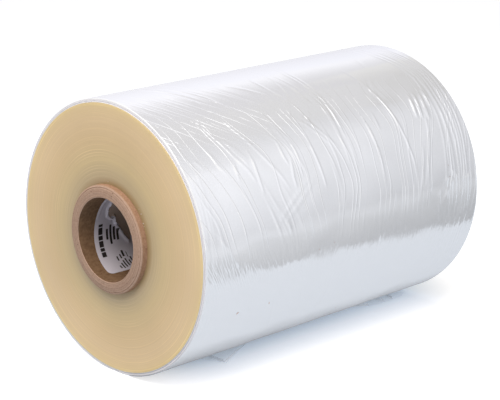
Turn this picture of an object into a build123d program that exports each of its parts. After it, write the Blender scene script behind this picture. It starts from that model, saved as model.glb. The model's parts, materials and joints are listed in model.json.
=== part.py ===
"""Roll of shrink film on a paperboard core, lying on its side.

X runs along the roll, +Z is up, and the origin is on the floor under the middle of the roll.
The labelled end faces -X and the free tail of the film lies on the floor on the -Y side.
"""

import os
from math import asin, cos, degrees, radians, sin, sqrt, tan

from build123d import *

# Core tube: a three-inch spiral-wound paperboard core with its cut edges broken
core_bore = 76.2
core_wall = 11.0
core_overhang = 6.0
core_edge_break = 0.7

# Wound film: its dished end faces show groups of turns that stand proud of each other
film_width = 355.6
roll_diameter = 249.6
face_dish = 1.2
turn_group_count = 4
turn_step = 0.35
proud_share = 0.8
proud_drift = 0.15

# Loose outer turns: set back from the end faces, with a rounded shoulder
loose_depth = 3.7
loose_setback = 0.9
shoulder_round = 3.2

# Gathers: ring-shaped beads in the outer turns beside the end faces, widening away from the end
near_bead_count = 1
far_bead_count = 6
bead_pitch = 4.2
bead_growth = 1.15
bead_height = 0.7

# Creases: low slanted ridges in the outer turn, each sinking into the roll at both ends
crease_row_count = 3
crease_count_in_row = 4
crease_height = 0.9
crease_width = 5.0
crease_root = 0.8
crease_slant_least = 9.0
crease_slant_step = 4.5
crease_first_angle = 25.0
crease_stagger = 23.0

# Where the roll rests: a small flat, and the loose tail of the film that lies in front of it
rest_flat = 32.0
tail_thickness = 0.5
tail_near_inset = 68.0
tail_far_inset = 9.0
tail_reach = 44.0
tail_waist = 29.0
tail_corner_reach = 58.0
tail_corner_width = 52.0

# Label inside the bore, at the near end: its size, and where its lower near corner sits
label_height = 101.6
label_width = 50.8
label_thickness = 0.1
label_glue = 0.09
label_inset = 13.0
label_low_angle = -76.0
label_slant = 8.9

core_radius = core_bore / 2 + core_wall
roll_radius = roll_diameter / 2
face_radius = roll_radius - loose_depth
core_length = film_width + 2 * core_overhang
axis_height = sqrt(roll_radius**2 - (rest_flat / 2) ** 2)
axis_place = Pos(0, 0, axis_height)


def core_tube():
    """A plain tube with the cut edges of its ends broken."""
    tube = Rot(0, 90, 0) * (Cylinder(core_radius, core_length) - Cylinder(core_bore / 2, core_length))
    end_edges = tube.edges().filter_by(GeomType.CIRCLE)
    return axis_place * chamfer(end_edges, core_edge_break)


def end_face_points(end):
    """Section of one end face from the core out: each group of turns rises to an edge a little proud of the
    next group, and the groups are set deeper towards the core."""
    group_width = (face_radius - core_radius) / turn_group_count
    points = []
    for group in range(turn_group_count):
        inner = core_radius + group * group_width
        proud_edge = inner + group_width * (proud_share + proud_drift * sin(2 * group))
        level = film_width / 2 - face_dish * (1 - (group + 1) / turn_group_count)
        points.append((end * (level - turn_step), inner))
        points.append((end * level, proud_edge))
    return points + [(end * (film_width / 2 - turn_step), face_radius)]


def bead_stops(bead_count):
    """Distances of the beads' edges from the end face."""
    stops = [loose_setback + shoulder_round]
    for bead in range(bead_count):
        stops.append(stops[-1] + bead_pitch * bead_growth**bead)
    return stops


def end_points(end, bead_count):
    """Section of one end of the roll: the end face, the shoulder of the loose turns and the beads."""
    rim = film_width / 2 - loose_setback
    shoulder_drop = shoulder_round * (1 - sqrt(0.5))
    stops = bead_stops(bead_count)
    points = end_face_points(end) + [
        (end * rim, face_radius),
        (end * rim, roll_radius - shoulder_round),
        (end * (rim - shoulder_drop), roll_radius - shoulder_drop),
        (end * (film_width / 2 - stops[0]), roll_radius),
    ]
    for begin, stop in zip(stops, stops[1:]):
        points.append((end * (film_width / 2 - (begin + stop) / 2), roll_radius + bead_height))
        points.append((end * (film_width / 2 - stop), roll_radius))
    return points


def wound_section():
    """Half section of the film: two ends, the plain side and the turn that lies on the core."""
    near_points = end_points(-1, near_bead_count)
    far_points = end_points(1, far_bead_count)
    return make_face(Polyline(*near_points, *reversed(far_points), close=True))


def side_span():
    """Where the plain side between the two sets of beads starts and ends."""
    near_stop = bead_stops(near_bead_count)[-1]
    far_stop = bead_stops(far_bead_count)[-1]
    return near_stop - film_width / 2, film_width / 2 - far_stop


def crease(place, angle, slant):
    """A ridge along a ring that is tipped across the roll, so that it sinks into the film at both ends."""
    foot = roll_radius - crease_root
    section = Polyline(
        (foot, -crease_width / 2), (roll_radius + crease_height, 0), (foot, crease_width / 2), close=True
    )
    sink_share = 2 * (crease_height + crease_root) / roll_radius
    half_arc = degrees(asin(min(1, sqrt(sink_share) / sin(radians(abs(slant))))))
    ring = Rot(0, 0, -half_arc) * revolve(Plane.XZ * make_face(section), Axis.Z, 2 * half_arc)
    return Pos(place, 0, 0) * Rot(angle, 0, 0) * Rot(0, -90, 0) * Rot(slant, 0, 0) * ring


def creases():
    """The main creases, in staggered rows round the roll with slants that differ from one to the next."""
    near_side, far_side = side_span()
    pitch = (far_side - near_side) / crease_count_in_row
    made = []
    for row in range(crease_row_count):
        for number in range(crease_count_in_row):
            slant = crease_slant_least + crease_slant_step * ((2 * number + row) % 4)
            if (number + row) % 3 == 0:
                slant = -slant
            place = near_side + pitch * (number + 0.5)
            stagger = crease_stagger * ((number + row) % 3)
            angle = crease_first_angle + row * 360 / (crease_row_count + 1) + stagger
            made.append(crease(place, angle, slant))
    return made


def film_tail():
    """The loose end of the film, lying flat in front of the roll with one corner pulled out."""
    near = -film_width / 2 + tail_near_inset
    far = film_width / 2 - tail_far_inset
    outline = Polyline(
        (near, 0),
        (near - tail_corner_width / 6, -tail_reach / 2),
        (near + tail_corner_width / 4, -tail_corner_reach),
        (near + tail_corner_width, -tail_waist),
        ((near + far) / 2, -tail_waist),
        (far - tail_corner_width, -tail_reach),
        (far, -tail_reach),
        (far, 0),
        close=True,
    )
    return extrude(make_face(outline), tail_thickness)


def film_roll():
    """The wound film with its creases, set down on its flat, and the tail that comes out under it."""
    wound = revolve(Plane.XZ * wound_section(), Axis.X)
    for ridge in creases():
        wound += ridge
    wound = axis_place * wound
    below_floor = Pos(0, 0, -roll_radius) * Box(2 * film_width, 4 * roll_radius, 2 * roll_radius)
    return wound - below_floor + film_tail()


def core_label():
    """A thin sheet on the wall of the bore, a layer of glue away from it and stuck a little askew."""
    back_radius = core_bore / 2 - label_glue
    lean = back_radius * tan(radians(label_slant))
    low = radians(label_low_angle)
    arc = degrees(label_height / back_radius)
    near = -core_length / 2 + label_inset - lean * sin(low)
    blank = Plane.XZ * Pos(near + label_width / 2, back_radius - label_thickness / 2) * Rectangle(
        label_width + 4 * lean, label_thickness
    )
    sheet = Rot(label_low_angle - 90, 0, 0) * revolve(blank, Axis.X, arc)
    across = (cos(radians(label_slant)), 0, -sin(radians(label_slant)))
    sheet = split(sheet, Plane((near, 0, 0), z_dir=across), keep=Keep.TOP)
    sheet = split(sheet, Plane((near + label_width, 0, 0), z_dir=across), keep=Keep.BOTTOM)
    return axis_place * sheet


def main():
    os.makedirs("parts", exist_ok=True)
    pieces = {"core_tube": core_tube(), "film_roll": film_roll(), "core_label": core_label()}
    for name, shape in pieces.items():
        export_step(shape, f"parts/{name}.step")
        print(name, "volume", round(shape.volume), "box", shape.bounding_box())


main()
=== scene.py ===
import json
import math
import random

import bmesh
import bpy
import numpy as np
from mathutils import Matrix, Vector
from mathutils.bvhtree import BVHTree


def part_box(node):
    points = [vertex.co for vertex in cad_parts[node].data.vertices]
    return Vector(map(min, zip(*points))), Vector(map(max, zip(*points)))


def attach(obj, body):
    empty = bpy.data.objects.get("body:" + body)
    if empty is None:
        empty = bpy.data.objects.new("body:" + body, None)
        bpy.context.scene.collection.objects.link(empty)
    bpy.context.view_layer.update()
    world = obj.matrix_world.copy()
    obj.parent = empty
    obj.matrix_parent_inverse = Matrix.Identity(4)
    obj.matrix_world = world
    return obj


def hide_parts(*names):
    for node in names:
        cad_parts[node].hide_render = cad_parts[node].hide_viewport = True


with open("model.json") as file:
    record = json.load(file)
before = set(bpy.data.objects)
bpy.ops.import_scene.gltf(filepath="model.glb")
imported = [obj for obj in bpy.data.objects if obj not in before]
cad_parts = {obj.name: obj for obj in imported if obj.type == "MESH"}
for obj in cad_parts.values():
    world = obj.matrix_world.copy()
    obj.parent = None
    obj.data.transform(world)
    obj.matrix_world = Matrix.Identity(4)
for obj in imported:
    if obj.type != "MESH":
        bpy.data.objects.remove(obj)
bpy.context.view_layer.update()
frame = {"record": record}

scene = bpy.context.scene
scene.view_settings.view_transform = "Standard"
mm = 0.001
axisZ = frame["record"]["mounts"][0]["pos_m"][2]  # the roll's axis above the floor
filmLow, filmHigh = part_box("film_roll")
filmWidth = (filmHigh[0] - filmLow[0]) / mm
nearEnd = filmLow[0] / mm  # the labelled end, at -X
print("frame loaded, film width", round(filmWidth, 1), "mm")


def linear(hexColour):
    # sRGB hex to the linear RGBA that the sockets take
    parts = [int(hexColour[i:i + 2], 16) / 255 for i in (0, 2, 4)]
    return [p / 12.92 if p <= 0.04045 else ((p + 0.055) / 1.055) ** 2.4 for p in parts] + [1.0]


def addNode(tree, kind, settings={}, links={}):
    node = tree.nodes.new("ShaderNode" + kind)
    for name, value in settings.items():
        if name == "stops":  # a colour ramp's places and colours
            while len(node.color_ramp.elements) < len(value):
                node.color_ramp.elements.new(0.5)
            for stop, (place, colour) in zip(node.color_ramp.elements, value):
                stop.position = place
                stop.color = colour
        elif isinstance(name, int) or name in node.inputs:
            node.inputs[name].default_value = value
        else:
            setattr(node, name, value)
    for name, source in links.items():  # a node by itself stands for its first output
        socket = source if isinstance(source, bpy.types.NodeSocket) else source.outputs[0]
        tree.links.new(node.inputs[name], socket)
    return node


def newMaterial(name):
    material = bpy.data.materials.new(name)
    material.use_nodes = True
    material.node_tree.nodes.clear()
    return material, material.node_tree


def fromRollAxis(tree):
    # a point taken from the roll's axis: as it is, flat across the roll, and how far out it lies
    place = addNode(tree, "TexCoord")
    point = addNode(tree, "Mapping", {"Location": (0, 0, -axisZ)}, {"Vector": place.outputs["Object"]})
    flat = addNode(tree, "VectorMath", {"operation": "MULTIPLY", 1: (0, 1, 1)}, {0: point})
    out = addNode(tree, "VectorMath", {"operation": "LENGTH"}, {0: flat})
    return point, flat, out.outputs["Value"]


def cloudyColour(tree, colour, grain, detail, low, high):
    # one colour with soft clouds in it, grain mm across; gives the clouds and the colour
    place = addNode(tree, "TexCoord")
    cloud = addNode(tree, "TexNoise", {"Scale": 1 / (grain * mm), "Detail": detail},
                    {"Vector": place.outputs["Object"]})
    tint = addNode(tree, "MapRange", {"To Min": low, "To Max": high}, {"Value": cloud})
    return cloud, addNode(tree, "VectorMath", {"operation": "SCALE", 0: linear(colour)[:3]}, {"Scale": tint})


def newObject(name, data):
    made = bpy.data.objects.new(name, data)
    scene.collection.objects.link(made)
    return made


def newMesh(name, bm, materials):
    mesh = bpy.data.meshes.new(name)
    bm.to_mesh(mesh)
    bm.free()
    for material in materials:
        mesh.materials.append(material)
    return newObject(name, mesh)


def newPiece(name, bm, materials, node):
    piece = newMesh(name, bm, materials)
    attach(piece, "root")
    if node:
        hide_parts(node)
    return piece


def spinProfile(points, runs, start=0.0):
    # a closed section of (mm along the roll, mm from its axis), turned right round the axis in runs of
    # (degrees, steps); 0 is the top and the first quarter turn comes down the camera's side
    bm = bmesh.new()
    lean = math.radians(start)
    ring = [bm.verts.new((along * mm, -out * math.sin(lean) * mm, axisZ + out * math.cos(lean) * mm))
            for along, out in points]
    geom = ring + [bm.edges.new((a, b)) for a, b in zip(ring, ring[1:] + ring[:1])]
    for degrees, steps in runs:
        turned = bmesh.ops.spin(bm, geom=geom, cent=(0, 0, axisZ), axis=(1, 0, 0), angle=math.radians(degrees),
                                steps=steps, use_merge=degrees == 360)
        geom = turned["geom_last"]
    bmesh.ops.remove_doubles(bm, verts=bm.verts, dist=1e-6)
    bmesh.ops.recalc_face_normals(bm, faces=bm.faces)
    return bm


def smoothShade(piece, angle):
    piece.data.shade_smooth()
    piece.data.set_sharp_from_angle(angle=math.radians(angle))


def gapToLine(x, y, line):
    # distance of a point from a line of straight runs
    gaps = []
    for (ax, ay), (bx, by) in zip(line, line[1:]):
        run = (bx - ax, by - ay)
        part = max(0, min(1, ((x - ax) * run[0] + (y - ay) * run[1]) / (run[0] ** 2 + run[1] ** 2)))
        gaps.append(math.hypot(x - ax - part * run[0], y - ay - part * run[1]))
    return min(gaps)


def cutIntoCells(bm, low, high, cell, axis):
    # straight cuts right across a flat sheet
    place = low + cell
    while place < high - cell / 2:
        point = [0, 0, 0]
        normal = [0, 0, 0]
        point[axis] = place
        normal[axis] = 1
        bmesh.ops.bisect_plane(bm, geom=bm.verts[:] + bm.edges[:] + bm.faces[:], plane_co=point,
                               plane_no=normal)
        place += cell


# Camera

viewPoint = {
    "azimuth": -43.761,
    "elevation": 16.055,
    "place": (-1.06272, -1.10167, 0.56449),
    "focalPixels": 1680.1,
    "imageWidth": 500,
    "sensor": 36.0,
}
camera = newObject("camera", bpy.data.cameras.new("camera"))
camera.data.sensor_fit = "HORIZONTAL"
camera.data.sensor_width = viewPoint["sensor"]
camera.data.lens = viewPoint["focalPixels"] * viewPoint["sensor"] / viewPoint["imageWidth"]
camera.location = viewPoint["place"]
camera.rotation_euler = (math.radians(90 - viewPoint["elevation"]), 0, math.radians(viewPoint["azimuth"]))
scene.camera = camera
print("camera set, lens", round(camera.data.lens, 1), "mm")

# Studio: a white floor and surround, soft lamps, and cards that only the film's gloss shows

studio = {
    "surroundFill": 0.42,
    "floorColour": "CDD6E3",
    "floorBounce": "BBC2CD",  # what it throws back on the roll
    # the floor's own glow for the eye, by metres from the roll: dimmed and bluish below it as a painted shadow, white
    # away from it
    "floorGlowWithPaintedShade": [(0.01, "545C64"), (0.04, "868E96"), (0.09, "D6D1CB")],
    "paintedShadeReach": 0.1,
    "floorShade": (-0.092, 0.156),  # from where to where along the roll its shade lies
    "floorHalf": 6.0,
    "floorDrop": 0.0002,
    "lamps": {  # place, aim, side in metres, power in watts, colour
        "topLamp": ((-0.05, 0.5, 1.55), (0.0, 0.0, 0.12), 1.4, 8.0, "FFFFFF"),
        "endLamp": ((-0.72, -0.3, 1.25), (-0.18, 0.0, 0.18), 0.9, 13.8, "FFF3E8"),
        "frontLamp": ((0.0, -1.4, 0.35), (0.0, -0.1, 0.03), 0.6, 5.0, "FFFFFF"),
    },
    # cards: corners in metres, the way the brightness runs, where it starts and stops, its levels, tint
    "cards": {
        "highCard": ([(1.3, -0.7, 3.2), (5.6, -0.7, 3.2), (5.6, 0.9, 3.2), (1.3, 0.9, 3.2)],
                     (1, 0, 0), 2.2, 4.2, 0.555, 0.625, "FAFBFF"),
        "highCardBack": ([(1.3, 0.9, 3.2), (5.6, 0.9, 3.2), (6.9, 4.4, 3.2), (3.0, 4.4, 3.2)],
                         (0, 1, 0), 1.7, 3.7, 0.575, 1.0, "F6F7FF"),
        "highCardFront": ([(1.3, -0.7, 3.2), (4.3, -0.7, 3.2), (4.9, -2.4, 3.2), (2.2, -2.4, 3.2)],
                          (0, -1, 0), 0.9, 2.45, 0.62, 0.86, "F7F9FF"),
        "glintLeft": ([(-1.0, -2.2, 3.21), (1.35, -2.2, 3.21), (1.35, 2.5, 3.21), (-1.0, 2.5, 3.21)],
                      (1, 0, 0), 0.5, 1.3, 1.4, 0.85, "FFFFFF"),
        "glintMiddle": ([(0.8, -2.2, 3.19), (1.85, -2.2, 3.19), (1.85, -0.2, 3.19), (0.8, -0.2, 3.19)],
                        (1, 0, 0), 0.0, 1.0, 1.4, 1.4, "FFFFFF"),
        "glintRight": ([(4.5, -1.7, 3.19), (9.5, -1.7, 3.19), (9.5, -0.3, 3.19), (4.5, -0.3, 3.19)],
                       (1, 0, 0), 4.5, 6.0, 1.3, 1.8, "FFFFFF"),
        "glintTop": ([(5.2, -0.3, 3.19), (9.5, -0.3, 3.19), (9.5, 1.5, 3.19), (5.2, 1.5, 3.19)],
                     (1, 0, 0), 5.2, 7.0, 0.85, 1.4, "FFFFFF"),
        "sideCard": ([(1.6, -3.0, 0.0), (1.6, -0.3, 0.0), (1.6, -0.3, 1.34), (1.6, -0.95, 1.5), (1.6, -1.3, 1.85),
                      (1.6, -3.0, 2.6)],
                     (0, -0.75, 0.66), 1.0, 2.4, 0.56, 0.99, "F7F9FF"),
        "glintFar": ([(1.61, -0.35, 0.0), (1.61, 0.8, 0.0), (1.61, 0.8, 1.6), (1.61, -0.35, 1.6)],
                     (0, 1, 0), 0.3, 0.8, 0.46, 0.69, "FFFFFF"),
        "glintFront": ([(-1.2, -2.2, 0.1), (1.05, -2.2, 0.1), (1.05, -2.2, 1.9), (-1.2, -2.2, 1.9)],
                       (0, 1, 0), -3.0, 0.0, 0.9, 0.9, "FFFFFF"),
        "lowCard": ([(0.03, -0.275, 0.001), (0.084, -0.252, 0.001), (0.156, -0.234, 0.001),
                     (0.273, -0.207, 0.001), (0.345, -0.176, 0.001), (0.55, -0.38, 0.001),
                     (0.86, -0.66, 0.001), (0.27, -0.66, 0.001), (0.05, -0.39, 0.001)],
                    (-0.3275, -0.9446, 0), 0.0, 0.8, 0.33, 0.98, "F9FBFF"),
        "outCard": ([(0.2, -0.66, 0.001), (0.88, -0.66, 0.001), (1.59, -1.15, 0.001), (1.59, -2.6, 0.001),
                     (0.9, -1.6, 0.001)],
                    (0.8, 0.6, 0), -0.15, 0.45, 0.84, 0.48, "F8FAFF"),
        "footCard": ([(-1.5, -0.02, 0.0008), (0.1, -3.4, 0.0008), (1.5, -0.02, 0.0008)],
                     (0.05, -1, 0), 0.0255, 0.0795, 0.21, 0.865, "F3F8FF"),
        "backCard": ([(-1.0, 0.5, 0.001), (2.5, 0.5, 0.001), (2.5, 2.5, 0.001), (-1.0, 2.5, 0.001)],
                     (0, 1, 0), 0.5, 2.5, 0.78, 0.84, "E3E7F6"),
        "skyCard": ([(1.0, 4.6, 0.0), (9.0, 4.6, 0.0), (9.0, 4.6, 3.4), (1.0, 4.6, 3.4)],
                    (0, 0, 1), 0.0, 3.0, 0.84, 1.01, "F1F3FF"),
    },
}


def seenRays(tree):
    # 1 for the camera, for mirrored rays and for rays through clear film
    path = addNode(tree, "LightPath")
    pair = addNode(tree, "Math", {"operation": "MAXIMUM"},
                   {0: path.outputs["Is Camera Ray"], 1: path.outputs["Is Glossy Ray"]})
    return addNode(tree, "Math", {"operation": "MAXIMUM"}, {0: pair, 1: path.outputs["Is Transmission Ray"]})


def makeStudio(cfg):
    world = bpy.data.worlds.new("studioSurround")
    world.use_nodes = True
    tree = world.node_tree
    tree.nodes.clear()
    strength = addNode(tree, "MapRange", {"To Min": cfg["surroundFill"], "To Max": 1.0}, {"Value": seenRays(tree)})
    back = addNode(tree, "Background", {"Color": linear("FFFFFF")}, {"Strength": strength})
    addNode(tree, "OutputWorld", {}, {"Surface": back})
    scene.world = world

    floorPaint, tree = newMaterial("matt white studio floor")
    floorPaint.cycles.emission_sampling = "NONE"  # its glow is for the eye and lights nothing
    seen = seenRays(tree)
    paint = addNode(tree, "Mix", {"data_type": "RGBA", 6: linear(cfg["floorBounce"]),
                                  7: linear(cfg["floorColour"])}, {0: seen})
    matt = addNode(tree, "BsdfDiffuse", {}, {"Color": paint.outputs[2]})
    # the glow is dimmed near the roll as a painted shadow on the floor, darkest below it
    place = addNode(tree, "TexCoord")
    low, high = cfg["floorShade"]
    fromShade = addNode(tree, "Mapping", {"Location": (-(low + high) / 2, 0, 0), "Scale": (1, 1, 0)},
                        {"Vector": place.outputs["Object"]})
    folded = addNode(tree, "VectorMath", {"operation": "ABSOLUTE"}, {0: fromShade})
    beyond = addNode(tree, "VectorMath", {"operation": "SUBTRACT", 1: ((high - low) / 2, 0, 0)}, {0: folded})
    clipped = addNode(tree, "VectorMath", {"operation": "MAXIMUM"}, {0: beyond})
    gap = addNode(tree, "VectorMath", {"operation": "LENGTH"}, {0: clipped})
    reach = cfg["paintedShadeReach"]
    share = addNode(tree, "MapRange", {"From Max": reach}, {"Value": gap.outputs["Value"]})
    ramp = addNode(tree, "ValToRGB", {"stops": [(g / reach, linear(c)) for g, c in cfg["floorGlowWithPaintedShade"]]}, {"Fac": share})
    glow = addNode(tree, "Emission", {}, {"Color": ramp, "Strength": seen})
    both = addNode(tree, "AddShader", {}, {0: matt, 1: glow})
    addNode(tree, "OutputMaterial", {}, {"Surface": both})
    bm = bmesh.new()
    bmesh.ops.create_grid(bm, x_segments=1, y_segments=1, size=cfg["floorHalf"])
    bmesh.ops.translate(bm, verts=bm.verts, vec=(0, 0, -cfg["floorDrop"]))
    newMesh("studioFloor", bm, [floorPaint])

    for name, (place, aim, side, power, colour) in cfg["lamps"].items():
        data = bpy.data.lights.new(name, "AREA")
        data.size = side
        data.energy = power
        data.color = linear(colour)[:3]
        lamp = newObject(name, data)
        lamp.location = place
        lamp.visible_glossy = False  # the gloss shows the cards instead
        toward = [b - a for a, b in zip(place, aim)]
        flat = math.hypot(toward[0], toward[1])
        lamp.rotation_euler = (math.atan2(flat, -toward[2]), 0, math.atan2(-toward[0], toward[1]))

    for name, (corners, way, start, stop, low, high, tint) in cfg["cards"].items():
        cardBoard, tree = newMaterial(name + " board")
        cardBoard.cycles.emission_sampling = "NONE"  # found by mirrored rays alone, with less grain
        place = addNode(tree, "TexCoord")
        run = addNode(tree, "VectorMath", {"operation": "DOT_PRODUCT", 1: way}, {0: place.outputs["Object"]})
        level = addNode(tree, "MapRange", {"From Min": start, "From Max": stop, "To Min": low, "To Max": high},
                        {"Value": run.outputs["Value"]})
        shine = addNode(tree, "Emission", {"Color": linear(tint)}, {"Strength": level})
        addNode(tree, "OutputMaterial", {}, {"Surface": shine})
        bm = bmesh.new()
        bm.faces.new([bm.verts.new(c) for c in corners])
        card = newMesh(name, bm, [cardBoard])
        for ray in ("camera", "diffuse", "shadow", "transmission"):
            setattr(card, "visible_" + ray, False)


makeStudio(studio)
print("studio lit with", len(studio["lamps"]), "lamps and", len(studio["cards"]), "cards")

# Wound turns: the tight film whose cut edges show as the cream end faces

woundTurns = {
    "coreRadius": 49.1,
    "faceRadius": 121.05,
    "dish": 1.2,
    "ringStep": 0.16,
    "rings": 46,
    "turns": 192,
    "seed": 4,
    # the darker browns next to the core are painted shade beside it
    "colours": [(0.0, "A28C66"), (0.05, "B09B75"), (0.1, "BAA782"), (0.3, "CEB88A"), (0.55, "D8BE91"),
                (0.8, "E0C69B"), (0.95, "E3CA9B"), (0.985, "E7CF9A"), (1.0, "EFD9A0")],  # from the core out
    "turnLine": 1.1,
    "patch": 70.0,
    # mm between proud turns and mm across their arcs, for a painted highlight
    "highlightRing": 7.0,
    "highlightArc": 60.0,
    "roughness": 0.42,
}


def cutFilmEdge(cfg):
    # polyolefin film cut square across a thousand turns: waxy, cream, with fine rings and a satin shine
    material, tree = newMaterial("cut polyolefin film edges")
    point, flat, out = fromRollAxis(tree)
    share = addNode(tree, "MapRange", {"From Min": cfg["coreRadius"] * mm, "From Max": cfg["faceRadius"] * mm},
                    {"Value": out})
    # the colour runs from the core out, with painted shade in the darker browns next to the core
    ramp = addNode(tree, "ValToRGB", {"stops": [(p, linear(c)) for p, c in cfg["colours"]]}, {"Fac": share})
    # each film is about 0.04 mm thick; its rings are drawn about a millimetre apart so that they show
    lines = addNode(tree, "TexNoise", {"noise_dimensions": "1D", "Scale": 1 / (cfg["turnLine"] * mm),
                                       "Detail": 3.0, "Roughness": 0.65}, {"W": out})
    patches = addNode(tree, "TexNoise", {"Scale": 1 / (cfg["patch"] * mm), "Detail": 1.0}, {"Vector": flat})
    shownLines = addNode(tree, "Math", {"operation": "MULTIPLY"}, {0: lines, 1: patches})
    lift = addNode(tree, "MapRange", {"From Min": 0.12, "From Max": 0.42, "To Min": 0.95, "To Max": 1.06},
                   {"Value": shownLines})
    # now and then a turn stands proud, and a thin pale arc is painted on it as its highlight
    proud = addNode(tree, "TexNoise", {"noise_dimensions": "1D", "Scale": 1 / (cfg["highlightRing"] * mm),
                                       "Detail": 0.0}, {"W": out})
    nearHalf = addNode(tree, "Math", {"operation": "COMPARE", 1: 0.5, 2: 0.02}, {0: proud})
    arcs = addNode(tree, "TexNoise", {"noise_dimensions": "4D", "W": 3.0, "Scale": 1 / (cfg["highlightArc"] * mm),
                                      "Detail": 0.0}, {"Vector": flat})
    highlightPart = addNode(tree, "MapRange", {"From Min": 0.45, "From Max": 0.7, "To Max": 0.18}, {"Value": arcs})
    liftAndHighlight = addNode(tree, "Math", {"operation": "MULTIPLY_ADD"}, {0: nearHalf, 1: highlightPart, 2: lift})
    colour = addNode(tree, "VectorMath", {"operation": "SCALE"}, {0: ramp, "Scale": liftAndHighlight})
    relief = addNode(tree, "Bump", {"Strength": 0.25, "Distance": 0.0002}, {"Height": lines})
    skin = addNode(tree, "BsdfPrincipled", {"Roughness": cfg["roughness"], "IOR": 1.5},
                   {"Base Color": colour, "Normal": relief})
    addNode(tree, "OutputMaterial", {}, {"Surface": skin})
    return material


def makeWoundTurns(cfg):
    pick = random.Random(cfg["seed"])
    half = filmWidth / 2
    ends = []
    for end in (-1, 1):
        face = []
        for ring in range(cfg["rings"] + 1):
            share = ring / cfg["rings"]
            out = cfg["coreRadius"] + (cfg["faceRadius"] - cfg["coreRadius"]) * share
            level = half - cfg["dish"] * (1 - share) - pick.uniform(0, cfg["ringStep"])
            face.append((end * level, out))
        ends.append(face)
    bm = spinProfile(ends[0] + ends[1][::-1], [(360, cfg["turns"])])
    piece = newPiece("woundTurns", bm, [cutFilmEdge(cfg)], "film_roll")
    smoothShade(piece, 40)


makeWoundTurns(woundTurns)
print("wound turns made")

# Outer turns: the loose, creased film round the roll

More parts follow.
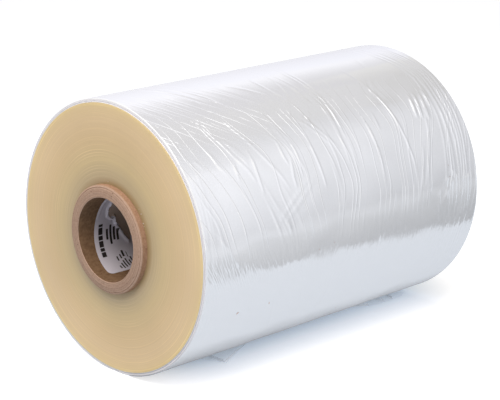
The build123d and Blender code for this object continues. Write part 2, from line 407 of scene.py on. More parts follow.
outerTurns = {
    "radius": 124.8,
    "innerRadius": 121.1,
    # the rim: mm in from the end and mm below the roll's side, with gaps between the edges of a few loose turns
    "rim": [(0.45, 3.7), (0.3, 3.45), (0.35, 3.1), (0.75, 2.85), (1.1, 2.7), (0.8, 2.35), (0.75, 2.0), (0.8, 1.4),
            (0.9, 0.8), (1.15, 0.3), (1.45, 0.06), (1.8, 0.0)],
    "edgeBelow": 0.9,  # mm below the roll's side from which the rim shows cut edges
    # the lips' white, and grey as painted shade in the gaps between them
    "lipAndGapShadeColours": ("D6D6DC", "F6F6F9"),
    "lipStep": 0.9,
    "pointsAlong": 360,
    "turns": [(200, 200), (160, 60)],
    "firstTurn": -25.0,
    "seed": 11,
    "swell": 0.2,
    "waviness": 0.11,
    "boundEnd": 30.0,  # mm from the ends over which the waves grow, and over which anything stands out
    "flushEnd": 4.0,
    "smoothTop": (12.0, 30.0, 0.15),  # degrees from the top, degrees over which the waves grow, what is left of them
    "tautLine": (-19.0, 8.0, 0.9),  # a pulled line behind the top: degrees, spread, how much it smooths
    "nearBeads": [(5.2, 0.06, 0.9), (9.4, 0.08, 1.2), (13.6, 0.07, 1.3)],  # mm from the end, height, half width
    # mm from the line below, height
    "farRidges": [(-7.5, 0.3), (-3.6, 0.36), (0.0, 0.36), (4.2, 0.36), (-12.5, 0.3), (-17.0, 0.26), (-23.5, 0.24)],
    "farRidgeLine": [(341, 150), (339, 110), (338, 84), (343, 70), (346, 59), (344, 48), (343, 37), (341, 27),
                     (338, 17), (336, 6), (334, -20), (338, -60)],
    "farRidgeHalfWidth": 2.1,
    # the creases that stand out, as (mm from the near end, degrees above the axis on the camera's side)
    "creases": [
        [(58, 94), (82, 74), (94, 60), (103, 54)],
        [(66, 74), (76, 54), (88, 41), (103, 28), (109, 22)],
        [(54, 49), (60, 41), (69, 34), (73, 29)],
        [(57, 49), (67, 43), (73, 38)],
        [(36, 46), (39, 39), (47, 33)],
        [(77, 43), (78, 37), (77, 30), (77, 23)],
        [(17, 43), (23, 39)],
        [(57, 39), (55, 31)],
        [(149, 83), (151, 72), (156, 60)],
        [(117, 80), (135, 71), (145, 66)],
        [(191, 88), (193, 67), (193, 55), (189, 36), (188, 26)],
        [(196, 86), (198, 64), (197, 50), (195, 38)],
        [(171, 77), (164, 65), (153, 57), (141, 50), (125, 43)],
        [(150, 52), (175, 36)],
        [(155, 53), (182, 34)],
        [(163, 53), (150, 46)],
        [(167, 52), (147, 42)],
        [(171, 53), (152, 43)],
        [(149, 42), (150, 33), (151, 19)],
        [(129, 41), (130, 33), (131, 28)],
        [(121, 35), (116, 27), (116, 22)],
        [(134, 25), (109, 18), (88, 11)],
        [(139, 24), (114, 16), (94, 10)],
        [(107, 47), (114, 43), (114, 36), (116, 32)],
        [(227, 42), (228, 30), (226, 14)],
        [(255, 73), (262, 54), (266, 41), (270, 20), (269, 9)],
        [(311, 45), (305, 37), (298, 28), (288, 18), (280, 8)],
        [(301, 47), (295, 39)],
        [(315, 43), (310, 37)],
        [(287, 26), (278, 14), (270, 4)],
        [(242, 46), (240, 37)],
        [(325, 15), (308, 8), (295, 2)],
        [(329, 12), (313, 5), (301, -2)],
    ],
    # short stretches that stand higher and glint, as height, half width and path
    "glints": [
        (0.26, 1.7, [(190, 58), (190, 48), (188, 38)]), (0.26, 1.7, [(197, 56), (196, 46), (195, 38)]),
        (0.3, 1.7, [(226, 47), (228, 39), (228, 32)]), (0.26, 1.7, [(260, 58), (265, 46), (268, 36)]),
        (0.3, 1.7, [(60, 46), (72, 36)]),
        (0.8, 2.8, [(301, 50), (297, 44), (294, 39)]), (0.8, 2.8, [(308, 50), (304, 43), (301, 38)]),
        (0.8, 2.8, [(315, 49), (311, 42), (308, 37)]), (0.7, 2.6, [(322, 51), (319, 43)]),
    ],
    "creaseHeight": 0.36,
    "creaseHalfWidth": 1.9,
    "fineBundles": 60,
    "fineAlong": (10, 330),
    "fineDegrees": (-130, 230),
    # degrees of lean at the near end, mm where it turns over, how much more it is below which degrees
    "fineLean": (26.0, 190.0, 1.5, 20.0),
    "fineLines": (1, 4),
    "fineLength": (25, 80),
    "fineSpacing": (2.2, 4.5),
    # long fine creases that sweep down the near end's upper side: the first one's line, mm apart, how many
    "sweep": ([(-2, 93), (16, 76), (40, 61), (66, 51)], 5.0, 22),
    "sweepHeight": (0.05, 0.13),
    "sweepHalfWidth": 1.5,
    "fineHeight": (0.06, 0.2),
    "fineHalfWidth": (1.9, 2.6),
    "silver": "F3F4F6",
    "roughness": 0.11,
    "mirrorShare": 0.7,
    "roughnessSpread": (-0.04, 0.06),
    "hairs": (0.1, 0.12),  # least and greatest height
    "hairCell": (14.0, 250.0),  # two lines to a cell, so about 7 mm apart
    "hairLine": 0.045,
    "hairFan": (-0.15, 2.5),  # metres round from which their lean opens, how fast
    "sway": (90.0, 40.0),  # mm long, mm aside
    "patch": 50.0,
    # fine lines that sweep down from the near end's top, along X = a Y + b Y squared
    "sweepHairs": 0.1,
    "sweepCell": (10.0, 200.0),  # about 5 mm apart
    "sweepLine": 0.08,
    "sweepCurve": (0.33, 5.0),
    "sweepAlong": (-0.12, -0.04),  # metres over which they fade out along the roll and down it
    "sweepDown": (0.07, 0.11),
    "peel": 0.32,
    "peelCell": (3.5, 12.0),
    "peelSlope": 0.068,  # how far round the peel drops along the roll
    "grazeFade": (0.5, 0.88),
    "shareSpan": 0.3,
    # shares of the peel and of the hairs, from the top of the roll (0) down its front to the floor (1)
    "peelShare": [(0.0, 0.0), (0.3, 0.03), (0.65, 0.05), (0.705, 1.0), (0.745, 1.0), (0.77, 0.02)],
    "hairShare": [(0.0, 0.0), (0.13, 0.0), (0.26, 1.0), (0.6, 1.0), (0.68, 0.4), (0.74, 0.25), (0.8, 0.1)],
}


def ridge(along, arc, path, radius, height, halfWidth):
    # a crease along a path on the unrolled skin: sharp on top, and sinking away at both ends
    stops = [np.array((a, radius * math.radians(90 - d))) for a, d in path]
    runs = [b - a for a, b in zip(stops, stops[1:])]
    total = sum(np.hypot(*run) for run in runs)
    gap = np.full(along.shape, 1e9)
    share = np.zeros(along.shape)
    passed = 0.0
    for stop, run in zip(stops, runs):
        length = np.hypot(*run)
        part = np.clip(((along - stop[0]) * run[0] + (arc - stop[1]) * run[1]) / length ** 2, 0, 1)
        here = np.hypot(along - stop[0] - part * run[0], arc - stop[1] - part * run[1])
        nearer = here < gap
        gap[nearer] = here[nearer]
        share[nearer] = ((passed + part * length) / total)[nearer]
        passed += length
    return height * np.maximum(0, 1 - gap / halfWidth) ** 1.4 * np.sin(np.pi * share) ** 0.5


def fineCreases(cfg):
    # bundles of short creases: they lean one way by the near end and the other way by the far end
    pick = random.Random(cfg["seed"])
    made = []
    for bundle in range(cfg["fineBundles"]):
        along = pick.uniform(*cfg["fineAlong"])
        degrees = pick.uniform(*cfg["fineDegrees"])
        lean, turnsOver, more, below = cfg["fineLean"]
        lean = lean * (1 - along / turnsOver) * (more if degrees < below else 1) + pick.uniform(-9, 9)
        for line in range(pick.randint(*cfg["fineLines"])):
            length = pick.uniform(*cfg["fineLength"])
            start = along + line * pick.uniform(*cfg["fineSpacing"])
            top = degrees + pick.uniform(-6, 6)
            bow = pick.uniform(-1.5, 1.5)
            shift = length * math.tan(math.radians(lean + pick.uniform(-2, 2)))
            drop = math.degrees(length / cfg["radius"])
            path = [(start, top), (start + shift / 2 + bow, top - drop / 2), (start + shift, top - drop)]
            made.append((pick.uniform(*cfg["fineHeight"]), pick.uniform(*cfg["fineHalfWidth"]), path))
    path, pitch, count = cfg["sweep"]
    for line in range(count):
        shift = line * pitch + pick.uniform(-2, 2)
        turned = pick.uniform(-7, 5)
        made.append((pick.uniform(*cfg["sweepHeight"]), cfg["sweepHalfWidth"],
                     [(a + shift, d + turned) for a, d in path]))
    return made


def creaseSkin(mesh, cfg):
    points = np.empty(len(mesh.vertices) * 3)
    mesh.vertices.foreach_get("co", points)
    points = points.reshape(-1, 3)
    along = points[:, 0] / mm - nearEnd
    up = (points[:, 2] - axisZ) / mm
    side = -points[:, 1] / mm
    out = np.hypot(up, side)
    turn = np.arctan2(side, up)  # 0 at the top, positive towards the camera
    arc = cfg["radius"] * turn
    loose = np.clip((out - cfg["innerRadius"]) / (cfg["radius"] - cfg["innerRadius"]), 0, 1) ** 2
    inset = np.minimum(along, filmWidth - along)
    # crossed waves that don't repeat together, their lengths in mm over 2 pi
    height = cfg["swell"] * (np.sin(along / 31 + 2 * np.sin(turn * 2)) * np.sin(turn * 3 + along / 90)
                             + 0.6 * np.sin(along / 13 + 3 * turn))
    height += cfg["waviness"] * (np.sin(arc / 7.3 + 1.7 * np.sin(along / 23)) * np.sin(along / 17 + arc / 29)
                                 + 0.7 * np.sin(arc / 4.9 - along / 11) * np.sin(along / 41 + arc / 53))
    # bound tight by the ends, and pulled smooth over the top
    start, grown, least = cfg["smoothTop"]
    height *= np.clip(inset / cfg["boundEnd"], 0, 1) * np.clip((np.abs(np.degrees(turn)) - start) / grown, least, 1)
    for place, tall, wide in cfg["nearBeads"]:
        wave = 0.7 * np.sin(turn * 3 + place) + 0.4 * np.sin(turn * 7)
        height += tall * np.exp(-((along - place - wave) / wide) ** 2)
    for shift, tall in cfg["farRidges"]:
        path = [(a + shift * (1 + 0.15 * math.sin(d / 17 + shift)), d) for a, d in cfg["farRidgeLine"]]
        height += ridge(along, arc, path, cfg["radius"], tall, cfg["farRidgeHalfWidth"])
    for path in cfg["creases"]:
        height += ridge(along, arc, path, cfg["radius"], cfg["creaseHeight"], cfg["creaseHalfWidth"])
    for tall, wide, path in cfg["glints"] + fineCreases(cfg):
        height += ridge(along, arc, path, cfg["radius"], tall, wide)
    place, spread, share = cfg["tautLine"]
    taut = 1 - share * np.exp(-((np.degrees(turn) - place) / spread) ** 2)
    scale = 1 + height * taut * loose * np.clip(inset / cfg["flushEnd"], 0, 1) / np.maximum(out, 1)
    points[:, 1] *= scale
    points[:, 2] = np.maximum(axisZ + (points[:, 2] - axisZ) * scale, 0.0)  # the flat that it rests on
    mesh.vertices.foreach_set("co", points.ravel())
    # unrolled coordinates for the finer creases: metres along the roll and round it, cut open at the floor
    corners = np.empty(len(mesh.loops), int)
    mesh.loops.foreach_get("vertex_index", corners)
    turned = turn[corners].reshape(-1, 4)
    acrossCut = (turned.max(1) - turned.min(1) > math.pi)[:, None] & (turned < 0)
    turned = np.where(acrossCut, turned + 2 * math.pi, turned)
    unrolled = np.stack([points[corners, 0], turned.ravel() * cfg["radius"] * mm], 1)
    mesh.uv_layers.new(name="unrolled").data.foreach_set("uv", unrolled.ravel())
    mesh.update()


def thinLines(tree, vector, cell, halfWidth, height):
    # lines where a stretched noise passes its middle value
    stretched = addNode(tree, "Mapping", {"Scale": (1 / (cell[0] * mm), 1 / (cell[1] * mm), 1)}, {"Vector": vector})
    waves = addNode(tree, "TexNoise", {"noise_dimensions": "2D", "Scale": 1.0, "Detail": 1.0}, {"Vector": stretched})
    offLine = addNode(tree, "Math", {"operation": "SUBTRACT", 1: 0.5}, {0: waves})
    gap = addNode(tree, "Math", {"operation": "ABSOLUTE"}, {0: offLine})
    return addNode(tree, "MapRange", {"interpolation_type": "SMOOTHSTEP", "From Max": halfWidth, "To Min": height,
                                      "To Max": 0.0}, {"Value": gap})


def glossyFilm(cfg):
    # clear polyolefin film wound loose: the faces of many turns mirror light, so it looks silvery white,
    # with hair-fine creases round the roll
    material, tree = newMaterial("glossy polyolefin film")
    skinMap = addNode(tree, "UVMap", {"uv_map": "unrolled"})
    parts = addNode(tree, "SeparateXYZ", {}, {0: skinMap})
    alongRoll, roundRoll = parts.outputs["X"], parts.outputs["Y"]
    # the hairs lean as the creases do: one way by the near end and the other way by the far end
    fanStart, fanRate = cfg["hairFan"]
    circling = addNode(tree, "Math", {"operation": "MAXIMUM", 1: fanStart}, {0: roundRoll})
    spread = addNode(tree, "Math", {"operation": "MULTIPLY_ADD", 1: fanRate, 2: 1.0}, {0: circling})
    across = addNode(tree, "Math", {"operation": "MULTIPLY"}, {0: alongRoll, 1: spread})
    leaned = addNode(tree, "CombineXYZ", {}, {"X": across, "Y": roundRoll})
    swayLong, swayAside = cfg["sway"]
    sway = addNode(tree, "TexNoise", {"noise_dimensions": "2D", "Scale": 1 / (swayLong * mm), "Detail": 1.0},
                   {"Vector": skinMap})
    bent = addNode(tree, "VectorMath", {"operation": "MULTIPLY_ADD", 1: (swayAside * mm, 0.0, 0.0)},
                   {0: sway.outputs["Color"], 2: leaned})
    hairs = thinLines(tree, bent, cfg["hairCell"], cfg["hairLine"], 1.0)
    patches = addNode(tree, "TexNoise", {"noise_dimensions": "2D", "Scale": 1 / (cfg["patch"] * mm), "Detail": 2.0},
                      {"Vector": skinMap})
    lowest, highest = cfg["hairs"]
    hairy = addNode(tree, "MapRange", {"From Min": 0.42, "From Max": 0.62, "To Min": lowest, "To Max": highest},
                    {"Value": patches})
    slanted = addNode(tree, "Math", {"operation": "MULTIPLY_ADD", 1: -cfg["peelSlope"]}, {0: alongRoll, 2: roundRoll})
    down = addNode(tree, "MapRange", {"From Max": cfg["shareSpan"]}, {"Value": slanted})
    greys = [[(p, (v, v, v, 1)) for p, v in cfg[name]] for name in ("peelShare", "hairShare")]
    peelShare, hairShare = [addNode(tree, "ValToRGB", {"stops": stops}, {"Fac": down}) for stops in greys]
    someHairs = addNode(tree, "Math", {"operation": "MULTIPLY"}, {0: hairs, 1: hairy})
    shownHairs = addNode(tree, "Math", {"operation": "MULTIPLY"}, {0: someHairs, 1: hairShare})
    peelAcross, peelLong = cfg["peelCell"]
    pressed = addNode(tree, "Mapping", {"Scale": (1 / (peelAcross * mm), 1 / (peelLong * mm), 1)}, {"Vector": bent})
    peel = addNode(tree, "TexNoise", {"noise_dimensions": "2D", "Scale": 1.0, "Detail": 1.0}, {"Vector": pressed})
    shownPeel = addNode(tree, "Math", {"operation": "MULTIPLY"}, {0: peel, 1: peelShare})
    height = addNode(tree, "Math", {"operation": "MULTIPLY_ADD", 1: cfg["peel"]}, {0: shownPeel, 2: shownHairs})
    # the lines that sweep down by the near end
    straight, curved = cfg["sweepCurve"]
    bow = addNode(tree, "Math", {"operation": "MULTIPLY_ADD", 1: curved, 2: straight}, {0: roundRoll})
    drift = addNode(tree, "Math", {"operation": "MULTIPLY"}, {0: bow, 1: roundRoll})
    onSweep = addNode(tree, "Math", {"operation": "SUBTRACT"}, {0: alongRoll, 1: drift})
    sweepMap = addNode(tree, "CombineXYZ", {}, {"X": onSweep, "Y": roundRoll})
    sweepLines = thinLines(tree, sweepMap, cfg["sweepCell"], cfg["sweepLine"], cfg["sweepHairs"])
    nearPart, highPart = [addNode(tree, "MapRange", {"From Min": low, "From Max": high, "To Min": 1.0, "To Max": 0.0},
                                  {"Value": value})
                          for (low, high), value in ((cfg["sweepAlong"], onSweep), (cfg["sweepDown"], roundRoll))]
    sweepPart = addNode(tree, "Math", {"operation": "MULTIPLY"}, {0: nearPart, 1: highPart})
    height = addNode(tree, "Math", {"operation": "MULTIPLY_ADD"}, {0: sweepLines, 1: sweepPart, 2: height})
    smoother, rougher = cfg["roughnessSpread"]
    shine = addNode(tree, "MapRange", {"To Min": cfg["roughness"] + smoother, "To Max": cfg["roughness"] + rougher},
                    {"Value": patches})
    # seen along the skin the hairs close up, so they fade there
    graze = addNode(tree, "LayerWeight", {"Blend": 0.5})
    full, gone = cfg["grazeFade"]
    seen = addNode(tree, "MapRange", {"interpolation_type": "SMOOTHSTEP", "From Min": full, "From Max": gone,
                                      "To Min": 1.0, "To Max": 0.0}, {"Value": graze.outputs["Facing"]})
    relief = addNode(tree, "Bump", {"Distance": 0.001}, {"Height": height, "Strength": seen})
    # the mirror share stands for all of its shine, so the rest has none of its own
    skin = addNode(tree, "BsdfPrincipled", {"Base Color": linear(cfg["silver"]), "IOR": 1.5,
                                            "Specular IOR Level": 0.0, "Metallic": cfg["mirrorShare"]},
                   {"Roughness": shine, "Normal": relief})
    addNode(tree, "OutputMaterial", {}, {"Surface": skin})
    return material


def looseEdges(cfg):
    # the cut edges of loose turns seen end-on: thin white lips, with painted shade in grey for the gaps between them
    material, tree = newMaterial("loose film edges")
    point, flat, out = fromRollAxis(tree)
    lips = addNode(tree, "TexNoise", {"noise_dimensions": "1D", "Scale": 1 / (cfg["lipStep"] * mm), "Detail": 1.0},
                   {"W": out})
    gapShade, white = map(linear, cfg["lipAndGapShadeColours"])
    ramp = addNode(tree, "ValToRGB", {"stops": [(0.35, gapShade), (0.65, white)]}, {"Fac": lips})
    skin = addNode(tree, "BsdfPrincipled", {"Roughness": 0.3, "IOR": 1.5}, {"Base Color": ramp})
    addNode(tree, "OutputMaterial", {}, {"Surface": skin})
    return material


def makeOuterTurns(cfg):
    half = filmWidth / 2
    rim = [(half - inset, cfg["radius"] - below) for inset, below in cfg["rim"]]
    span = rim[-1][0]
    step = 2 * span / (cfg["pointsAlong"] - 1)
    side = [(-span + step * k, cfg["radius"]) for k in range(1, cfg["pointsAlong"] - 1)]
    bm = spinProfile([(-a, r) for a, r in rim] + side + rim[::-1], cfg["turns"], cfg["firstTurn"])
    for face in bm.faces:
        middle = face.calc_center_median()
        face.material_index = int(math.hypot(middle.y, middle.z - axisZ) < (cfg["radius"] - cfg["edgeBelow"]) * mm)
    piece = newPiece("outerTurns", bm, [glossyFilm(cfg), looseEdges(cfg)], "film_roll")
    creaseSkin(piece.data, cfg)
    smoothShade(piece, 60)
    return piece


skin = makeOuterTurns(outerTurns)
print("outer turns creased")

# Core: a spiral-wound paperboard tube

core = {
    "bore": 38.1,
    "outside": 49.1,
    "length": 367.6,
    "grooves": [0.1, 0.14, 0.25, 0.1, 0.16, 0.14, 0.35],  # how deep each ply's joint is, from the bore out
    "crown": 1.5,
    "crownPeak": 0.3,
    "edgeRound": 0.7,
    "turns": 160,
    "ragged": 0.09,
    "seed": 5,
    "boards": [  # finish, dark and pale colour, mm of its grain, share of ply rings in it
        ("cut paperboard plies", ("947865", "C6AA97"), 1.6, 0.6),
        ("kraft paperboard wrap", ("91715A", "B08E76"), 2.0, 0.0),
        # the bore's board is a darker copy of the wrap's: painted shade inside the tube
        ("kraft paperboard bore with painted shade", ("664E3A", "836950"), 3.0, 0.0),
    ],
    "plyRing": 0.9,
    "fleckColour": "5A4030",
    "fleckCell": 2.2,
}


def paperboard(cfg, name, colours, grain, plyShare):
    # grey-brown recycled board: matt and fibrous, with flecks, and rings of plies on the cut ends
    material, tree = newMaterial(name)
    point, flat, out = fromRollAxis(tree)
    fibre = addNode(tree, "TexNoise", {"Scale": 1 / (grain * mm), "Detail": 5.0, "Roughness": 0.65},
                    {"Vector": point})
    plies = addNode(tree, "TexNoise", {"noise_dimensions": "1D", "Scale": 1 / (cfg["plyRing"] * mm), "Detail": 2.0},
                    {"W": out})
    tone = addNode(tree, "Mix", {"data_type": "FLOAT", 0: plyShare}, {2: fibre, 3: plies})
    dark, pale = map(linear, colours)
    ramp = addNode(tree, "ValToRGB", {"stops": [(0.3, dark), (0.7, pale)]}, {"Fac": tone})
    # dark bark flecks about a millimetre across
    bark = addNode(tree, "TexNoise", {"Scale": 1 / (cfg["fleckCell"] * mm), "Detail": 1.0}, {"Vector": point})
    shown = addNode(tree, "MapRange", {"From Min": 0.72, "From Max": 0.8}, {"Value": bark})
    flecked = addNode(tree, "Mix", {"data_type": "RGBA", 7: linear(cfg["fleckColour"])}, {0: shown, 6: ramp})
    relief = addNode(tree, "Bump", {"Strength": 0.5, "Distance": 0.0003}, {"Height": tone})
    skin = addNode(tree, "BsdfPrincipled", {"Roughness": 0.85, "IOR": 1.45, "Specular IOR Level": 0.25},
                   {"Base Color": flecked.outputs[2], "Normal": relief})
    addNode(tree, "OutputMaterial", {}, {"Surface": skin})
    return material


def makeCore(cfg):
    half = cfg["length"] / 2
    soft = cfg["edgeRound"]
    thick = (cfg["outside"] - cfg["bore"] - 2 * soft) / len(cfg["grooves"])

    def worn(out):
        # the cut end falls away a little towards its outer edge
        share = (out - cfg["bore"]) / (cfg["outside"] - cfg["bore"])
        return half - cfg["crown"] * max(0, (share - cfg["crownPeak"]) / (1 - cfg["crownPeak"])) ** 2

    section = [(half - soft, cfg["bore"]), (half - 0.2, cfg["bore"] + 0.25)]
    for ply, groove in enumerate(cfg["grooves"]):
        inner = cfg["bore"] + soft + thick * ply
        section += [(worn(inner) - groove, inner), (worn(inner + 0.3 * thick), inner + 0.3 * thick),
                    (worn(inner + 0.75 * thick), inner + 0.75 * thick)]
    rounded = worn(cfg["outside"])
    section += [(rounded - 0.15, cfg["outside"] - 0.3), (rounded - soft, cfg["outside"])]
    bm = spinProfile([(-a, r) for a, r in section] + section[::-1], [(360, cfg["turns"])])
    pick = random.Random(cfg["seed"])
    for vert in bm.verts:  # board tears a little where it is cut
        if abs(vert.co.x) > (half - 2.5 * soft) * mm:
            vert.co.x -= math.copysign(abs(pick.gauss(0, cfg["ragged"])) * mm, vert.co.x)
    for face in bm.faces:
        middle = face.calc_center_median()
        out = math.hypot(middle.y, middle.z - axisZ) / mm
        if abs(middle.x) < 1 * mm:
            face.material_index = 1 if out > (cfg["bore"] + cfg["outside"]) / 2 else 2
    boards = [paperboard(cfg, *board) for board in cfg["boards"]]
    piece = newPiece("coreBoard", bm, boards, "core_tube")
    smoothShade(piece, 35)


makeCore(core)
print("core made")

# Label: coated paper stuck askew on the wall of the bore, wrinkled, with a part torn away

label = {
    "width": 50.8,
    "height": 101.6,
    "cornerRound": 5.0,
    "cell": 0.8,
    "inset": 13.0,
    "lowAngle": -76.0,
    "slant": 8.9,
    "wallRadius": 37.95,
    # in mm from the near edge and from the lower edge, the curled rim of the torn part and a loose wrinkle:
    # line, height, half width
    "folds": [([(15, 84), (12, 76), (10.5, 66), (13, 58), (18, 54.5)], 2.2, 1.8),
              ([(18, 54.5), (21, 57), (23.5, 49)], 2.8, 1.6),
              ([(23.5, 49), (29, 42.5), (33, 36), (37.5, 30)], 2.4, 2.2), ([(2, 60), (3, 78), (6, 92)], 0.6, 3.0)],
    "torn": [(16, 84), (13, 76), (11.5, 66), (14, 59), (18.5, 56), (21, 58.5), (24.5, 50), (30, 43.5), (34, 37.5),
             (38.5, 31.5), (46, 38), (48, 60), (46, 80), (34, 92), (20, 90)],
    "tearRagged": 0.9,
    "ripple": 0.1,
    "glueGap": 0.05,
    "bars": [  # mm from the near edge, mm from the lower edge, mm across, mm long
        (4.8, 21, 4.8, 4.8), (4.8, 26.4, 4.8, 3.2), (4.8, 30.4, 4.8, 5.6), (4.8, 36.8, 4.8, 4.0),
        (4.8, 41.6, 4.8, 6.4), (4.8, 48.8, 4.8, 2.4),
        (13.6, 36, 2.4, 9.6), (17.6, 31.2, 2.4, 17.6), (21.6, 34.4, 2.4, 12), (25.6, 33.6, 2.4, 10.4),
        (16, 4, 1.6, 4), (19.2, 3.2, 1.6, 7.2), (22.4, 4, 1.6, 8.8), (18.4, 13.6, 1.6, 4.8),
        (25.6, 4.8, 1.6, 9.6), (22.4, 15.2, 1.6, 4.8), (25.6, 16.8, 2.4, 6.4), (28.8, 4, 1.6, 8),
        (32, 6, 1.6, 9), (30, 15, 1.6, 6),
    ],
    "papers": [("coated label paper", "D5D3DF"), ("printing ink", "2A2628"), ("torn label backing", "BFAFA3")],
    "cloud": 6.0,
}


def coatedPaper(name, colour, cloudSize):
    # thin coated label paper: smooth and slightly shiny, with faint cloudiness
    material, tree = newMaterial(name)
    cloud, paint = cloudyColour(tree, colour, cloudSize, 3.0, 0.94, 1.04)
    relief = addNode(tree, "Bump", {"Strength": 0.15, "Distance": 0.0003}, {"Height": cloud})
    skin = addNode(tree, "BsdfPrincipled", {"Roughness": 0.38, "IOR": 1.5}, {"Base Color": paint, "Normal": relief})
    addNode(tree, "OutputMaterial", {}, {"Surface": skin})
    return material


def insideShape(x, y, shape):
    inside = False
    for (ax, ay), (bx, by) in zip(shape, shape[1:] + shape[:1]):
        if (ay > y) != (by > y) and x < ax + (bx - ax) * (y - ay) / (by - ay):
            inside = not inside
    return inside


def makeLabel(cfg):
    bm = bmesh.new()  # flat first, in mm: x from the near edge, y from the lower edge
    wide, tall = cfg["width"], cfg["height"]
    corners = [bm.verts.new(c) for c in ((0, 0, 0), (wide, 0, 0), (wide, tall, 0), (0, tall, 0))]
    bm.faces.new(corners)
    bmesh.ops.bevel(bm, geom=corners, affect="VERTICES", offset=cfg["cornerRound"], segments=5, profile=0.5,
                    material=-1)
    cutIntoCells(bm, 0, wide, cfg["cell"], 0)
    cutIntoCells(bm, 0, tall, cfg["cell"], 1)
    ragged = cfg["tearRagged"]
    for face in bm.faces:
        middle = face.calc_center_median()
        x, y = middle.x, middle.y
        face.material_index = int(any(a < x < a + w and b < y < b + l for a, b, w, l in cfg["bars"]))
        if insideShape(x + ragged * math.sin(y * 1.7), y + ragged * math.sin(x * 1.3), cfg["torn"]):
            face.material_index = 2
    flatArea = sum(face.calc_area() for face in bm.faces)
    lean = math.tan(math.radians(cfg["slant"]))
    lowUp = math.sin(math.radians(cfg["lowAngle"]))
    for vert in bm.verts:
        across, high = vert.co.x, vert.co.y
        angle = math.radians(cfg["lowAngle"]) + high / cfg["wallRadius"]
        lift = cfg["ripple"] * (1 + math.sin(across / 4 + high / 7))
        for line, foldHeight, halfWidth in cfg["folds"]:
            lift += foldHeight * max(0, 1 - gapToLine(across, high, line) / halfWidth) ** 1.3
        reach = cfg["wallRadius"] - max(cfg["glueGap"], lift)
        askew = cfg["wallRadius"] * lean * (math.sin(angle) - lowUp)
        along = -core["length"] / 2 + cfg["inset"] + askew + across
        vert.co = (along * mm, reach * math.cos(angle) * mm, axisZ + reach * math.sin(angle) * mm)
    bmesh.ops.recalc_face_normals(bm, faces=bm.faces)
    papers = [coatedPaper(name, colour, cfg["cloud"]) for name, colour in cfg["papers"]]
    piece = newPiece("boreLabel", bm, papers, "core_label")
    smoothShade(piece, 80)


makeLabel(label)
print("label stuck in the bore")

# Tail: the loose clear end of the film, lying on the floor in front of the roll

tail = {
    "outline": [(-110, -14), (-112, -31), (-103, -37), (-94, -59), (-60, -42), (-41, -34), (20, -31), (90, -31),
                (112, -43), (130, -47), (160, -47), (170, -41), (168, -14)],
    "folds": [[(-95, -22), (-95, -58)], [(-95, -58), (-43, -35)], [(-112, -30), (-103, -36)],
              [(92, -30), (114, -43)], [(128, -32), (134, -45)], [(150, -30), (146, -46)]],
    "foldHeight": 3.0,
    "foldHalfWidth": 1.1,
    "cell": 1.0,
    "heldTo": 14.0,  # mm in front of the axis up to which the roll presses it flat, and over which it comes free
    "floorGap": 0.25,
    "ripple": 0.5,
    "colour": "F2F5FA",
    # how solid one layer looks, and a fold of several
    "layers": [("clear polyolefin film", 0.14), ("folded polyolefin film", 0.26)],
    "rippleCell": 10.0,
}


def clearFilm(cfg, name, solidShare):
    # one or two layers of clear polyolefin film: almost unseen, with white glints along its folds
    material, tree = newMaterial(name)
    place = addNode(tree, "TexCoord")
    ripple = addNode(tree, "TexNoise", {"Scale": 1 / (cfg["rippleCell"] * mm), "Detail": 2.0},
                     {"Vector": place.outputs["Object"]})
    relief = addNode(tree, "Bump", {"Strength": 0.3, "Distance": 0.0006}, {"Height": ripple})
    skin = addNode(tree, "BsdfPrincipled", {"Base Color": linear(cfg["colour"]), "Roughness": 0.12, "IOR": 1.5,
                                            "Alpha": solidShare}, {"Normal": relief})
    addNode(tree, "OutputMaterial", {}, {"Surface": skin})
    return material


def makeTail(cfg):
    bm = bmesh.new()
    bm.faces.new([bm.verts.new((a, b, 0)) for a, b in cfg["outline"]])
    flatArea = sum(face.calc_area() for face in bm.faces)
    for axis in (0, 1):
        places = [point[axis] for point in cfg["outline"]]
        cutIntoCells(bm, min(places), max(places), cfg["cell"], axis)
    for (ax, ay), (bx, by) in cfg["folds"]:  # cuts along each crest and both feet
        across = Vector((ay - by, bx - ax, 0)).normalized()
        for off in (-1, 0, 1):
            bmesh.ops.bisect_plane(bm, geom=bm.verts[:] + bm.edges[:] + bm.faces[:], plane_no=across,
                                   plane_co=Vector((ax, ay, 0)) + across * off * cfg["foldHalfWidth"])
    for face in bm.faces:
        middle = face.calc_center_median()
        gap = min(gapToLine(middle.x, middle.y, fold) for fold in cfg["folds"])
        face.material_index = int(gap < cfg["foldHalfWidth"])
    for vert in bm.verts:
        x, y = vert.co.x, vert.co.y
        free = max(0.0, min(1.0, (-y - cfg["heldTo"]) / cfg["heldTo"]))
        gap = min(gapToLine(x, y, fold) for fold in cfg["folds"])
        lift = cfg["foldHeight"] * max(0, 1 - gap / cfg["foldHalfWidth"]) * free
        lift += cfg["ripple"] * free * (1 + math.sin(x / 7 + y / 5) * math.sin(y / 9 - x / 13))
        vert.co = (x * mm, y * mm, (cfg["floorGap"] + lift) * mm)
    layers = [clearFilm(cfg, *layer) for layer in cfg["layers"]]
    piece = newPiece("filmTail", bm, layers, "film_roll")
    smoothShade(piece, 60)


makeTail(tail)
print("tail laid")

# Flecks: crumbs of board on the film and shavings of film beside the core

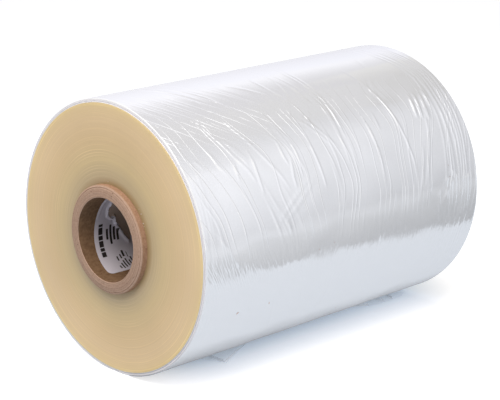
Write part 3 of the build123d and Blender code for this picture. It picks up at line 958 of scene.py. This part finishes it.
flecks = {
    # mm from the near end, degrees above the axis on the camera's side, mm long
    "board": [(46, -24, 3.4), (84, -24, 2.4), (199, -47, 1.4), (136, -5, 1.5), (155, -4, 1.5), (315, 15, 1.5),
              (315, 10, 1.4)],
    # mm from the axis, degrees above the axis on the camera's side, mm long
    "film": [(52.5, 37, 1.6), (50.6, 28, 1.8), (51.8, 92, 1.2), (52.9, 42, 1.0), (50.4, 25, 1.0)],
    "boardColour": "94501F",
    "filmColour": "F4EFEC",
    "grain": 0.5,
    "thick": 0.15,
    "endInset": 0.9,
    "seed": 3,
}


def crumbFinish(name, colour, grain):
    # torn crumbs: matt, a little uneven in tone
    material, tree = newMaterial(name)
    paint = cloudyColour(tree, colour, grain, 2.0, 0.8, 1.1)[1]
    skin = addNode(tree, "BsdfPrincipled", {"Roughness": 0.8}, {"Base Color": paint})
    addNode(tree, "OutputMaterial", {}, {"Surface": skin})
    return material


def makeFlecks(cfg):
    pick = random.Random(cfg["seed"])

    def crumbs(places):
        bm = bmesh.new()
        for length, matrix in places:
            shape = Matrix.Diagonal((length / 2 * mm, length / 6 * mm, cfg["thick"] * mm, 1))
            turned = matrix @ Matrix.Rotation(pick.uniform(0, 3), 4, "Z")
            bmesh.ops.create_icosphere(bm, subdivisions=1, radius=1.0, matrix=turned @ shape)
        return bm

    onSide, onEnd = [], []
    bm = bmesh.new()
    bm.from_mesh(skin.data)
    skinTree = BVHTree.FromBMesh(bm)
    bm.free()
    for along, degrees, length in cfg["board"]:
        out = Matrix.Rotation(math.radians(90 - degrees), 4, "X")  # turns up (+Z) towards the camera's side
        middle = Vector(((nearEnd + along) * mm, 0, axisZ))
        way = out @ Vector((0, 0, 1))
        spot = skinTree.ray_cast(middle + way * 0.2, -way)[0]
        onSide.append((length, Matrix.Translation(spot) @ out))
    for radius, degrees, length in cfg["film"]:
        turned = Matrix.Rotation(math.radians(90 - degrees), 4, "X")
        onEnd.append((length, Matrix.Translation(((nearEnd + cfg["endInset"]) * mm, 0, axisZ)) @ turned
                      @ Matrix.Translation((0, 0, radius * mm)) @ Matrix.Rotation(math.radians(90), 4, "Y")))
    board = crumbFinish("kraft board crumbs", cfg["boardColour"], cfg["grain"])
    shaving = crumbFinish("film shavings", cfg["filmColour"], cfg["grain"])
    newPiece("boardCrumbs", crumbs(onSide), [board], None)
    newPiece("filmShavings", crumbs(onEnd), [shaving], None)


makeFlecks(flecks)
print("flecks placed")
